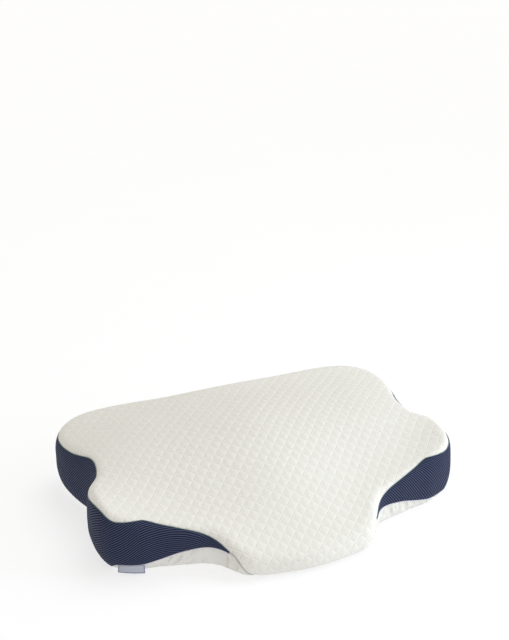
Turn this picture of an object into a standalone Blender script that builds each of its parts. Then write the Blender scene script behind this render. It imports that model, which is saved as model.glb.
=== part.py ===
"""Contoured cervical pillow, butterfly outline, lying on its flat base.

Frame: metres, +Z up, origin on the floor under the middle of the pillow's box.
+X runs along the wings, -Y is the low front tongue, +Y the straight back.

Pieces, as a maker would cut and sew them:
  pillow              top panel with its filling: crown, shoulder rounding, and a
                      rebate under the top seam in which the lower pieces sit
  bottom_panel        dish of the same knit, turned up to the lower seam
  side_gusset_right   air-mesh side strip, tapering to a point front and back
  side_gusset_left    the same strip on the other side
  label               small blank tab sewn into the lower seam, front left
"""

import math

import bmesh
import bpy
import numpy as np

# ---------------------------------------------------------------- sizes, in mm
SHEET = 2.2  # thickness of the gussets and of the bottom panel
REBATE = 3.0  # how far the body steps in behind them
SEAM_GAP = 0.6  # gap between pieces along a seam
LABEL_SHEET = 1.0
LABEL_WIDTH = 41.0
LABEL_FLARE = 4.5  # how far the tab's free edge stands out from its seam
LABEL_TUCK = 0.6  # gap between the tab and the cloth behind it
LABEL_FLOOR = 5.5  # height of the tab's free edge
LABEL_X = -261.0  # middle of the tab

TOP_ROUND = 24.0  # width of the rounded shoulder above the widest line
BASE_ROUND = 22.5  # width of the rounding below it
WIDEST = 0.474  # height of the widest line, as a share of the edge height
TOP_POWER = 3.65  # superellipse powers of the two roundings
BASE_POWER = 2.43

CENTRE_Y = 6.5  # moves the tables' y so that the box is centred on the origin

CROWN_X = 145.0  # the ellipse on the crown that the sections run out from
CROWN_Y = 41.0
CROWN_MID = -11.0

STATIONS = 56  # sections on each half of the outline
CROWN_ROWS = (0.0, 0.5)
TOP_ROWS = 5
SHOULDER_ROWS = 5
GUSSET_ROWS = 4
BASE_ROWS = 5
TIP_WIDTH = 3.5  # a gusset ends where the two seams are this close

# Half the outline seen from above, from the front centre round the right side to
# the back centre. The seams' places on the rounded side are angles: 90 is the
# crown, 0 the widest line, -90 the base.
OUTLINE = (
    # x mm, y mm, top seam deg, lower seam deg
    (0, -225, -60, -60),
    (72, -217, -72, -72),
    (100, -210, -33, -33),
    (119, -192, 13, 13),
    (142, -163, 34, 5),
    (180, -150, 53, 0),
    (218, -141, 65, -19),
    (247, -135.5, 79, -33),
    (282, -118.5, 43, -42),
    (295, -100.5, 49, -75),
    (297, -36, 35, -64),
    (278, -4, 52, -71),
    (276, 41, 67, -61),
    (291, 97, 50, -60),
    (290, 176, 48, -36),
    (211, 212, 0, 0),
    (0, 190, 0, 0),
)

# Height of the crown above the floor, the same on both sides of x = 0.
HEIGHT_X = (0, 96, 192, 310)
HEIGHT = (
    # y mm, then mm at each HEIGHT_X
    (-214, 38, 41, 59, 81),
    (-160, 64, 63, 76, 101),
    (-96, 95, 89, 89, 118),
    (-32, 117, 113, 109, 114),
    (43, 127, 123, 119, 105),
    (118, 121, 119, 113, 97),
    (182, 121, 115, 108, 95),
)


# ------------------------------------------------------------- interpolation
def curvature_matrix(t, closed=False):
    """Second derivatives of the cubic spline through values at t, as a matrix.

    closed joins the last value to the first; otherwise the ends are not-a-knot.
    """
    t = np.asarray(t, float)
    h = np.diff(t)
    n = len(h) if closed else len(t)
    left, right = np.zeros((n, n)), np.zeros((n, n))
    inner = range(n) if closed else range(1, n - 1)
    for i in inner:
        a, b = h[i - 1], h[i]
        before, after = (i - 1) % n, (i + 1) % n
        left[i, before] += a / 6
        left[i, i] += (a + b) / 3
        left[i, after] += b / 6
        right[i, before] += 1 / a
        right[i, i] -= 1 / a + 1 / b
        right[i, after] += 1 / b
    if not closed:
        left[0, :3] = h[1], -(h[0] + h[1]), h[0]
        left[-1, -3:] = h[-1], -(h[-1] + h[-2]), h[-2]
    return np.linalg.solve(left, right)


def spline(t, values, bends, x, slope=False):
    """The cubic spline at x, or its slope; values and bends run along axis 0."""
    t = np.asarray(t, float)
    i = np.clip(np.searchsorted(t, x) - 1, 0, len(t) - 2)
    h = t[i + 1] - t[i]
    b = (x - t[i]) / h
    a = 1 - b
    pick = lambda v, k: v[k, np.arange(len(x))] if v.ndim == 2 else v[k]
    v0, v1, m0, m1 = pick(values, i), pick(values, i + 1), pick(bends, i), pick(bends, i + 1)
    if slope:
        return (v1 - v0) / h + ((3 * b * b - 1) * m1 - (3 * a * a - 1) * m0) * h / 6
    return a * v0 + b * v1 + ((a**3 - a) * m0 + (b**3 - b) * m1) * h * h / 6


def monotone(t, y, x):
    """A cubic through y that doesn't overshoot between its points."""
    t, y = np.asarray(t, float), np.asarray(y, float)
    h = np.diff(t)
    d = np.diff(y) / h
    s = np.zeros(len(t))
    for i in range(1, len(t) - 1):
        if d[i - 1] * d[i] > 0:
            w1, w2 = 2 * h[i] + h[i - 1], h[i] + 2 * h[i - 1]
            s[i] = (w1 + w2) / (w1 / d[i - 1] + w2 / d[i])
    i = np.clip(np.searchsorted(t, x) - 1, 0, len(t) - 2)
    b = (x - t[i]) / h[i]
    return (
        y[i] * (1 + 2 * b) * (1 - b) ** 2
        + s[i] * h[i] * b * (1 - b) ** 2
        + y[i + 1] * b * b * (3 - 2 * b)
        + s[i + 1] * h[i] * b * b * (b - 1)
    )


def angle_height(degrees):
    """How high a place on the rounded side is: -1 at the base, 0 widest, 1 at the top."""
    s = np.sin(np.radians(degrees))
    return np.where(s >= 0, np.abs(s) ** (2 / TOP_POWER), -(np.abs(s) ** (2 / BASE_POWER)))


def height_angle(height):
    up = np.abs(height) ** (TOP_POWER / 2)
    down = -(np.abs(height) ** (BASE_POWER / 2))
    return np.arcsin(np.where(height >= 0, up, down))


# ------------------------------------------------------------------ the shape
class Form:
    """The pillow's outer surface, as sections that run out from the crown."""

    def __init__(self):
        knots = np.array(OUTLINE, float)
        self.knots = len(knots)
        back = knots[-2:0:-1]
        loop = np.concatenate([knots[:, :2], back[:, :2] * [-1, 1], knots[:1, :2]])
        chord = np.sqrt(np.linalg.norm(np.diff(loop, axis=0), axis=1))
        self.t = np.concatenate([[0], np.cumsum(chord)])
        self.loop = loop
        self.bends = curvature_matrix(self.t, closed=True) @ loop[:-1]
        self.bends = np.concatenate([self.bends, self.bends[:1]])
        self.seams = knots[:, 2:]
        x = np.array(HEIGHT_X, float)
        self.hx = np.concatenate([-x[:0:-1], x])
        rows = np.array(HEIGHT, float)
        self.hy = rows[:, 0]
        self.grid = np.concatenate([rows[:, :1:-1], rows[:, 1:]], axis=1)
        self.bend_x = curvature_matrix(self.hx) @ self.grid.T
        self.bend_y = curvature_matrix(self.hy)
        fine = np.linspace(0, self.t[self.knots - 1], 1200)
        points = self.edge(fine)
        steps = np.linalg.norm(np.diff(points, axis=0), axis=1)
        self.fine, self.run = fine, np.concatenate([[0], np.cumsum(steps)])

    def edge(self, t, slope=False):
        return np.stack(
            [spline(self.t, self.loop[:, k], self.bends[:, k], t, slope) for k in (0, 1)], axis=1
        )

    def height(self, x, y):
        x = np.clip(np.abs(x), 0, 352)
        y = np.clip(y, -229, 198)
        across = np.stack(
            [
                spline(self.hx, self.grid[r], self.bend_x[:, r], x)
                for r in range(len(self.hy))
            ]
        )
        return spline(self.hy, across, self.bend_y @ across, y)

    def sections(self, share):
        """The section lines at these shares of the half outline's length."""
        t = np.interp(np.asarray(share) * self.run[-1], self.run, self.fine)
        self.p = self.edge(t)
        along = self.edge(t, slope=True)
        along /= np.linalg.norm(along, axis=1)[:, None]
        out = np.stack([along[:, 1], -along[:, 0]], axis=1)
        turn = math.pi * (t / self.t[self.knots - 1] - 0.5)
        self.core = np.stack(
            [CROWN_X * np.cos(turn), CROWN_MID + CROWN_Y * np.sin(turn)], axis=1
        )
        self.e = self.core - self.p
        reach = np.linalg.norm(self.e, axis=1)
        self.e /= reach[:, None]
        slant = np.clip(-(self.e * out).sum(axis=1), 0.45, 1)
        self.top_reach = np.minimum(TOP_ROUND / slant, 0.9 * reach)
        self.base_reach = BASE_ROUND / slant
        knots = self.t[: self.knots]
        self.top_seam = height_angle(monotone(knots, angle_height(self.seams[:, 0]), t))
        self.low_seam = height_angle(monotone(knots, angle_height(self.seams[:, 1]), t))
        self.low_seam = np.minimum(self.low_seam, self.top_seam)
        self.widest = WIDEST * self.height(self.p[:, 0], self.p[:, 1])

    def crown(self, inward):
        """A ring from the crown's ellipse (0) out to the rounding (1)."""
        rim = self.p + self.e * self.top_reach[:, None]
        q = self.core + (rim - self.core) * inward
        return np.column_stack([q, self.height(q[:, 0], q[:, 1])])

    def core_ring(self, share):
        q = np.stack([self.core[:, 0], CROWN_MID + (self.core[:, 1] - CROWN_MID) * share], axis=1)
        return np.column_stack([q, self.height(q[:, 0], q[:, 1])])

    def side(self, angle):
        """Points at this angle on the rounded side, one for each section."""
        c = np.maximum(np.cos(angle), 0)
        s = np.abs(np.sin(angle))
        up = angle >= 0
        reach = np.where(
            up,
            (1 - c ** (2 / TOP_POWER)) * self.top_reach,
            (1 - c ** (2 / BASE_POWER)) * self.base_reach,
        )
        rise = np.where(up, s ** (2 / TOP_POWER), s ** (2 / BASE_POWER))
        q = self.p + self.e * reach[:, None]
        top = self.height(q[:, 0], q[:, 1])
        z = np.where(up, self.widest + (top - self.widest) * rise, self.widest * (1 - rise))
        return np.column_stack([q, z])

    def normals(self, angle):
        """Outward directions at side(angle)."""
        step = 0.01
        low = np.maximum(angle - step, -math.pi / 2)
        high = np.minimum(angle + step, math.pi / 2)
        rising = self.side(high) - self.side(low)
        points = self.side(angle)
        if abs(points[0, 0]) < 1e-6:
            ends = points[[1, -2]] * [-1, 1, 1]
            points = np.concatenate([ends[:1], points, ends[1:]])
            along = points[2:] - points[:-2]
        else:
            along = np.gradient(points, axis=0)
        n = np.cross(along, rising)
        return n / np.linalg.norm(n, axis=1)[:, None]

    def lower(self, angle, distance):
        """The angle this many mm further down the side."""
        step = 0.02
        speed = np.linalg.norm(
            self.side(np.maximum(angle - step, -math.pi / 2)) - self.side(angle), axis=1
        )
        return angle - step * distance / np.maximum(speed, 0.05)

    def seam_width(self):
        rows = [
            self.side(self.top_seam + (self.low_seam - self.top_seam) * k / 8) for k in range(9)
        ]
        return sum(np.linalg.norm(a - b, axis=1) for a, b in zip(rows, rows[1:]))


# ------------------------------------------------------------- mesh building
def loft(name, rows, ring=False, cap_first=False, cap_last=False, cap_ends=False):
    """Quads between rows of points, outward when the rows run down the side.

    ring joins the last row back to the first, for a sheet that is lofted down its
    face and up its back. The caps fill the first row, the last row or the two ends.
    """
    mesh = bmesh.new()
    centre = np.array([0, CENTRE_Y, 0])
    verts = [[mesh.verts.new(tuple((p + centre) / 1000)) for p in row] for row in rows]
    if cap_first:
        mesh.faces.new(verts[0])
    if cap_last:
        mesh.faces.new(verts[-1][::-1])
    if cap_ends:
        mesh.faces.new([row[0] for row in verts][::-1])
        mesh.faces.new([row[-1] for row in verts])
    for a, b in zip(verts, verts[1:] + verts[:1] if ring else verts[1:]):
        for j in range(len(a) - 1):
            # The same diagonal on every layer keeps the layers parallel.
            if a[j].co.z >= b[j].co.z:
                mesh.faces.new((a[j], b[j], b[j + 1]))
                mesh.faces.new((a[j], b[j + 1], a[j + 1]))
            else:
                mesh.faces.new((a[j], b[j], a[j + 1]))
                mesh.faces.new((b[j], b[j + 1], a[j + 1]))
    bmesh.ops.remove_doubles(mesh, verts=mesh.verts, dist=1e-5)
    bmesh.ops.dissolve_degenerate(mesh, edges=mesh.edges, dist=1e-6)
    data = bpy.data.meshes.new(name)
    mesh.to_mesh(data)
    mesh.free()
    data.shade_smooth()
    data.set_sharp_from_angle(angle=math.radians(50))
    return data


def on_plane(row):
    """The row with its two ends exactly on the plane of symmetry."""
    row = row.copy()
    row[[0, -1], 0] = 0
    return row


def cloth(name, colour, roughness):
    material = bpy.data.materials.new(name)
    material.use_nodes = True
    shader = material.node_tree.nodes["Principled BSDF"]
    shader.inputs["Base Color"].default_value = (*colour, 1)
    shader.inputs["Roughness"].default_value = roughness
    shader.inputs["Metallic"].default_value = 0
    material.diffuse_color = (*colour, 1)
    return material


def add(name, mesh, material, parts):
    piece = bpy.data.objects.new(name, mesh)
    if not mesh.materials:
        mesh.materials.append(material)
    parts.objects.link(piece)
    return piece


def mirrored(piece):
    modifier = piece.modifiers.new("Mirror", "MIRROR")
    modifier.use_axis = (True, False, False)
    modifier.merge_threshold = 0.0001


def thickened(piece, thickness):
    modifier = piece.modifiers.new("Solidify", "SOLIDIFY")
    modifier.thickness = thickness / 1000
    modifier.offset = -1
    modifier.use_rim = True


def blend(a, b, k):
    return a + (b - a) * k


def section_shares(form):
    """Even shares of the half outline, with one on each point of the gusset."""
    shares = np.linspace(0, 1, STATIONS + 1)
    fine = np.linspace(0, 1, 1601)
    form.sections(fine)
    wide = np.flatnonzero(form.seam_width() > TIP_WIDTH)
    tips = []
    for tip in (fine[wide[0]], fine[wide[-1]]):
        nearest = int(np.argmin(np.abs(shares - tip)))
        shares[nearest] = tip
        tips.append(nearest)
    return shares, tips


def pillow_rows(form):
    quarter = math.pi / 2
    rows = [form.core_ring(s) for s in CROWN_ROWS[1:]]
    rows += [form.crown(k / TOP_ROWS) for k in range(TOP_ROWS)]
    for k in range(SHOULDER_ROWS + 1):
        rows.append(form.side(blend(quarter, form.top_seam, k / SHOULDER_ROWS)))
    rebate = [blend(form.top_seam, form.low_seam, k / GUSSET_ROWS) for k in range(GUSSET_ROWS + 1)]
    rebate += [blend(form.low_seam, -quarter, k / BASE_ROWS) for k in range(1, BASE_ROWS + 1)]
    for angle in rebate:
        rows.append(form.side(angle) - form.normals(angle) * REBATE)
    rows[-1][:, 2] = REBATE
    return rows


def sheet_rows(form, angles):
    """Rows down the face of a sheet, then rows up its back, SHEET behind."""
    face = [form.side(angle) for angle in angles]
    back = [row - form.normals(angle) * SHEET for row, angle in zip(face, angles)]
    return face, back[::-1]


def bottom_rows(form):
    quarter = math.pi / 2
    angles = [form.lower(form.low_seam, SEAM_GAP / 2)]
    angles += [blend(form.low_seam, -quarter, k / BASE_ROWS) for k in range(1, BASE_ROWS + 1)]
    face, back = sheet_rows(form, angles)
    face[-1][:, 2] = 0
    back[0][:, 2] = SHEET
    return back + face


def gusset_rows(form):
    top = form.lower(form.top_seam, SEAM_GAP)
    low = form.lower(form.low_seam, -SEAM_GAP / 2)
    face, back = sheet_rows(form, [blend(top, low, k / GUSSET_ROWS) for k in range(GUSSET_ROWS + 1)])
    return face + back


def label_rows(form):
    """The tab hangs from the lower seam, and its free edge stands out a little."""
    fine = np.linspace(0, 1, 1601)
    form.sections(fine)
    front = np.flatnonzero(form.p[:, 1] < -80)
    middle = front[int(np.argmin(np.abs(form.p[front, 0] + LABEL_X)))]
    half = LABEL_WIDTH / 2 / form.run[-1]
    form.sections(np.linspace(fine[middle] - half, fine[middle] + half, 7))
    seam = form.side(form.low_seam)
    seam += form.normals(form.low_seam) * (LABEL_TUCK + LABEL_SHEET)
    out = form.normals(form.low_seam * 0)
    out[:, 2] = 0
    rows = []
    for k in range(5):
        down = k / 4
        row = seam + out * LABEL_FLARE * down
        row[:, 2] = blend(seam[:, 2], LABEL_FLOOR, down)
        rows.append(row * [-1, 1, 1])
    return [row[::-1] for row in rows]


def main():
    for old in list(bpy.data.objects):
        bpy.data.objects.remove(old, do_unlink=True)
    parts = bpy.data.collections.new("cervical_pillow")
    bpy.context.scene.collection.children.link(parts)

    knit = cloth("white_knit", (0.78, 0.77, 0.73), 0.9)
    base_knit = cloth("white_knit_base", (0.72, 0.71, 0.68), 0.9)
    air_mesh = cloth("navy_air_mesh", (0.035, 0.04, 0.09), 0.75)
    tab = cloth("pale_tab", (0.45, 0.48, 0.56), 0.7)

    form = Form()
    shares, (first, last) = section_shares(form)
    form.sections(shares)

    rows = [on_plane(row) for row in pillow_rows(form)]
    pillow = add("pillow", loft("pillow", rows, cap_first=True, cap_last=True), knit, parts)
    mirrored(pillow)

    rows = [on_plane(row) for row in bottom_rows(form)]
    bottom = add(
        "bottom_panel", loft("bottom_panel", rows, cap_first=True, cap_last=True), base_knit, parts
    )
    mirrored(bottom)

    rows = [row[first : last + 1] for row in gusset_rows(form)]
    strip = loft("side_gusset", rows, ring=True, cap_ends=True)
    add("side_gusset_right", strip, air_mesh, parts)
    left = add("side_gusset_left", strip, air_mesh, parts)
    left.scale = (-1, 1, 1)

    label = add("label", loft("label", label_rows(form)), tab, parts)
    thickened(label, LABEL_SHEET)


main()
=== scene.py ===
"""Looks of a contoured cervical pillow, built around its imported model.

The cloth lies on the same form as the model: sections that run out from the
crown over the rounded side to the floor. Each panel is laid out flat along
those sections, its pattern is set on the flat cloth, and the cloth goes back
on the form with its relief. Lengths are millimetres until a mesh is written.
"""

import math

import bpy
import numpy as np
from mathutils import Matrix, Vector, geometry


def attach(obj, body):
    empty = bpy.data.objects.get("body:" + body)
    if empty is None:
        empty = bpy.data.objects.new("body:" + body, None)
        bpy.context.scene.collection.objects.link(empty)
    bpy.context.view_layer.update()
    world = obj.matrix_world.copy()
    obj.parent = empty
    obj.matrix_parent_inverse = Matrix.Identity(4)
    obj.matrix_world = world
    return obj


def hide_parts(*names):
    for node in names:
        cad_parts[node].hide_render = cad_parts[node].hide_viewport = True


# ------------------------------------------------- the form, as in the model
SHEET = 2.2
REBATE = 3.0
SEAM_GAP = 0.6
LABEL_SHEET = 1.0
LABEL_WIDTH = 41.0
LABEL_FLARE = 4.5
LABEL_TUCK = 0.6
LABEL_FLOOR = 5.5
LABEL_X = -261.0
TOP_ROUND = 24.0
BASE_ROUND = 22.5
WIDEST = 0.474
TOP_POWER = 3.65
BASE_POWER = 2.43
CENTRE_Y = 6.5
CROWN_X = 145.0
CROWN_Y = 41.0
CROWN_MID = -11.0
TIP_WIDTH = 3.5

OUTLINE = (
    # x mm, y mm, top seam deg, lower seam deg
    (0, -225, -60, -60),
    (72, -217, -72, -72),
    (100, -210, -33, -33),
    (119, -192, 13, 13),
    (142, -163, 34, 5),
    (180, -150, 53, 0),
    (218, -141, 65, -19),
    (247, -135.5, 79, -33),
    (282, -118.5, 43, -42),
    (295, -100.5, 49, -75),
    (297, -36, 35, -64),
    (278, -4, 52, -71),
    (276, 41, 67, -61),
    (291, 97, 50, -60),
    (290, 176, 48, -36),
    (211, 212, 0, 0),
    (0, 190, 0, 0),
)
HEIGHT_X = (0, 96, 192, 310)
HEIGHT = (
    # y mm, then mm at each HEIGHT_X
    (-214, 38, 41, 59, 81),
    (-160, 64, 63, 76, 101),
    (-96, 95, 89, 89, 118),
    (-32, 117, 113, 109, 114),
    (43, 127, 123, 119, 105),
    (118, 121, 119, 113, 97),
    (182, 121, 115, 108, 95),
)

# --------------------------------------------------------- the cloth's pattern
PITCH = 15.3  # the quilting's square cells, from channel to channel
QUILT_TURN = 50.0  # the lattice's turn from the pillow's own axes, in degrees
FRONT_TURN = -4.0  # how much less it turns over the front tongue
LATTICE = (
    # place across one pitch mm, how far the cell swells 0-1, twin ridge -1 to 1
    (0.0, 0.00, -1.0),
    (1.25, 0.00, 1.0),
    (2.4, 0.00, 0.0),
    (3.2, 0.60, 0.0),
    (5.5, 1.00, 0.0),
    (9.8, 1.00, 0.0),
    (12.1, 0.60, 0.0),
    (12.9, 0.00, 0.0),
    (14.05, 0.00, 1.0),
)
TOP_CELL = 0.36  # height of a cell over its channels
TOP_RIDGE = 0.34  # height of the twin ridges along each channel
BASE_CELL = 0.6
BASE_RIDGE = 0.3
SEAM_SINK = 0.8  # how far the cloth is drawn in at a seam
PINCH = 1.9  # how much deeper where knit meets knit, either side of the front

RIB = 3.45  # from rib to rib of the air mesh
RIB_HEIGHT = 0.4
RIB_RISE_RIGHT = ((0, -51), (60, -55), (130, -54.5), (200, -51), (300, -50), (640, -50))
RIB_RISE_LEFT = (
    (0, 30), (45, 20), (85, 6), (112, -12), (134, -31), (150, -34), (180, -30),
    (220, -36), (270, -46), (320, -46), (380, -42), (430, -46), (640, -52),
)

HALF_RING = 460  # points along each half of a seam
SKIN_STATIONS = 1201
SKIN_STEPS = 221


# ------------------------------------------------------------- interpolation
def curvature_matrix(t, closed=False):
    """Second derivatives of the cubic spline through values at t, as a matrix."""
    t = np.asarray(t, float)
    h = np.diff(t)
    n = len(h) if closed else len(t)
    left, right = np.zeros((n, n)), np.zeros((n, n))
    inner = range(n) if closed else range(1, n - 1)
    for i in inner:
        a, b = h[i - 1], h[i]
        before, after = (i - 1) % n, (i + 1) % n
        left[i, before] += a / 6
        left[i, i] += (a + b) / 3
        left[i, after] += b / 6
        right[i, before] += 1 / a
        right[i, i] -= 1 / a + 1 / b
        right[i, after] += 1 / b
    if not closed:
        left[0, :3] = h[1], -(h[0] + h[1]), h[0]
        left[-1, -3:] = h[-1], -(h[-1] + h[-2]), h[-2]
    return np.linalg.solve(left, right)


def spline(t, values, bends, x, slope=False):
    """The cubic spline at x, or its slope; values and bends run along axis 0."""
    t = np.asarray(t, float)
    i = np.clip(np.searchsorted(t, x) - 1, 0, len(t) - 2)
    h = t[i + 1] - t[i]
    b = (x - t[i]) / h
    a = 1 - b
    pick = lambda v, k: v[k, np.arange(len(x))] if v.ndim == 2 else v[k]
    v0, v1, m0, m1 = pick(values, i), pick(values, i + 1), pick(bends, i), pick(bends, i + 1)
    if slope:
        return (v1 - v0) / h + ((3 * b * b - 1) * m1 - (3 * a * a - 1) * m0) * h / 6
    return a * v0 + b * v1 + ((a**3 - a) * m0 + (b**3 - b) * m1) * h * h / 6


def monotone(t, y, x):
    """A cubic through y that doesn't overshoot between its points."""
    t, y = np.asarray(t, float), np.asarray(y, float)
    h = np.diff(t)
    d = np.diff(y) / h
    s = np.zeros(len(t))
    for i in range(1, len(t) - 1):
        if d[i - 1] * d[i] > 0:
            w1, w2 = 2 * h[i] + h[i - 1], h[i] + 2 * h[i - 1]
            s[i] = (w1 + w2) / (w1 / d[i - 1] + w2 / d[i])
    i = np.clip(np.searchsorted(t, x) - 1, 0, len(t) - 2)
    b = (x - t[i]) / h[i]
    return (
        y[i] * (1 + 2 * b) * (1 - b) ** 2
        + s[i] * h[i] * b * (1 - b) ** 2
        + y[i + 1] * b * b * (3 - 2 * b)
        + s[i + 1] * h[i] * b * b * (b - 1)
    )


def angle_height(degrees):
    """How high a place on the rounded side is: -1 at the base, 0 widest, 1 at the top."""
    s = np.sin(np.radians(degrees))
    return np.where(s >= 0, np.abs(s) ** (2 / TOP_POWER), -(np.abs(s) ** (2 / BASE_POWER)))


def height_angle(height):
    up = np.abs(height) ** (TOP_POWER / 2)
    down = -(np.abs(height) ** (BASE_POWER / 2))
    return np.arcsin(np.where(height >= 0, up, down))


def smooth(x, low, high):
    k = np.clip((np.asarray(x, float) - low) / (high - low), 0, 1)
    return k * k * (3 - 2 * k)


def blend(a, b, k):
    return a + (b - a) * k


def waves(x, y, seed, size, octaves=3):
    """A smooth random field of about -1 to 1, the same on each run."""
    random = np.random.default_rng(seed)
    total, weight = 0, 0
    for octave in range(octaves):
        for _ in range(5):
            turn, phase = random.uniform(0, math.tau, 2)
            length = size / 2**octave * random.uniform(0.75, 1.35)
            share = 0.55**octave
            total = total + share * np.sin(
                (x * math.cos(turn) + y * math.sin(turn)) * math.tau / length + phase
            )
            weight += share * share
    return total / math.sqrt(weight * 1.6)


# ------------------------------------------------------------------ the shape
class Form:
    """The pillow's outer surface, as sections that run out from the crown."""

    def __init__(self):
        knots = np.array(OUTLINE, float)
        self.knots = len(knots)
        back = knots[-2:0:-1]
        loop = np.concatenate([knots[:, :2], back[:, :2] * [-1, 1], knots[:1, :2]])
        chord = np.sqrt(np.linalg.norm(np.diff(loop, axis=0), axis=1))
        self.t = np.concatenate([[0], np.cumsum(chord)])
        self.loop = loop
        self.bends = curvature_matrix(self.t, closed=True) @ loop[:-1]
        self.bends = np.concatenate([self.bends, self.bends[:1]])
        self.seams = knots[:, 2:]
        x = np.array(HEIGHT_X, float)
        self.hx = np.concatenate([-x[:0:-1], x])
        rows = np.array(HEIGHT, float)
        self.hy = rows[:, 0]
        self.grid = np.concatenate([rows[:, :1:-1], rows[:, 1:]], axis=1)
        self.bend_x = curvature_matrix(self.hx) @ self.grid.T
        self.bend_y = curvature_matrix(self.hy)
        fine = np.linspace(0, self.t[self.knots - 1], 1200)
        points = self.edge(fine)
        steps = np.linalg.norm(np.diff(points, axis=0), axis=1)
        self.fine, self.run = fine, np.concatenate([[0], np.cumsum(steps)])

    def edge(self, t, slope=False):
        return np.stack(
            [spline(self.t, self.loop[:, k], self.bends[:, k], t, slope) for k in (0, 1)], axis=1
        )

    def height(self, x, y):
        x = np.clip(np.abs(x), 0, 352)
        y = np.clip(y, -229, 198)
        across = np.stack(
            [spline(self.hx, self.grid[r], self.bend_x[:, r], x) for r in range(len(self.hy))]
        )
        return spline(self.hy, across, self.bend_y @ across, y)

    def sections(self, share):
        """The section lines at these shares of the half outline's length."""
        t = np.interp(np.asarray(share) * self.run[-1], self.run, self.fine)
        self.p = self.edge(t)
        along = self.edge(t, slope=True)
        along /= np.linalg.norm(along, axis=1)[:, None]
        out = np.stack([along[:, 1], -along[:, 0]], axis=1)
        turn = math.pi * (t / self.t[self.knots - 1] - 0.5)
        self.core = np.stack(
            [CROWN_X * np.cos(turn), CROWN_MID + CROWN_Y * np.sin(turn)], axis=1
        )
        self.e = self.core - self.p
        reach = np.linalg.norm(self.e, axis=1)
        self.e /= reach[:, None]
        slant = np.clip(-(self.e * out).sum(axis=1), 0.45, 1)
        self.top_reach = np.minimum(TOP_ROUND / slant, 0.9 * reach)
        self.base_reach = BASE_ROUND / slant
        knots = self.t[: self.knots]
        self.top_seam = height_angle(monotone(knots, angle_height(self.seams[:, 0]), t))
        self.low_seam = height_angle(monotone(knots, angle_height(self.seams[:, 1]), t))
        self.low_seam = np.minimum(self.low_seam, self.top_seam)
        self.widest = WIDEST * self.height(self.p[:, 0], self.p[:, 1])

    def crown(self, inward):
        """A ring from the crown's ellipse (0) out to the rounding (1)."""
        rim = self.p + self.e * self.top_reach[:, None]
        q = self.core + (rim - self.core) * inward
        return np.column_stack([q, self.height(q[:, 0], q[:, 1])])

    def side(self, angle):
        """Points at this angle on the rounded side, one for each section."""
        c = np.maximum(np.cos(angle), 0)
        s = np.abs(np.sin(angle))
        up = angle >= 0
        reach = np.where(
            up,
            (1 - c ** (2 / TOP_POWER)) * self.top_reach,
            (1 - c ** (2 / BASE_POWER)) * self.base_reach,
        )
        rise = np.where(up, s ** (2 / TOP_POWER), s ** (2 / BASE_POWER))
        q = self.p + self.e * reach[:, None]
        top = self.height(q[:, 0], q[:, 1])
        z = np.where(up, self.widest + (top - self.widest) * rise, self.widest * (1 - rise))
        return np.column_stack([q, z])

    def normals(self, angle):
        """Outward directions at side(angle)."""
        step = 0.01
        low = np.maximum(angle - step, -math.pi / 2)
        high = np.minimum(angle + step, math.pi / 2)
        rising = self.side(high) - self.side(low)
        points = self.side(angle)
        if abs(points[0, 0]) < 1e-6:
            ends = points[[1, -2]] * [-1, 1, 1]
            points = np.concatenate([ends[:1], points, ends[1:]])
            along = points[2:] - points[:-2]
        else:
            along = np.gradient(points, axis=0)
        n = np.cross(along, rising)
        return n / np.linalg.norm(n, axis=1)[:, None]

    def lower(self, angle, distance):
        """The angle this many mm further down the side."""
        step = 0.02
        speed = np.linalg.norm(
            self.side(np.maximum(angle - step, -math.pi / 2)) - self.side(angle), axis=1
        )
        return angle - step * distance / np.maximum(speed, 0.05)

    def seam_width(self):
        rows = [
            self.side(self.top_seam + (self.low_seam - self.top_seam) * k / 8) for k in range(9)
        ]
        return sum(np.linalg.norm(a - b, axis=1) for a, b in zip(rows, rows[1:]))


def whole(row):
    """A closed ring from the right half of it, which starts and ends on the middle."""
    row = row.copy()
    if row.shape[1] == 3:
        row[[0, -1], 0] = 0
        return np.concatenate([row, row[-2:0:-1] * [-1, 1, 1]])
    return np.concatenate([row, row[-2:0:-1] * [-1, 1]])


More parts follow.
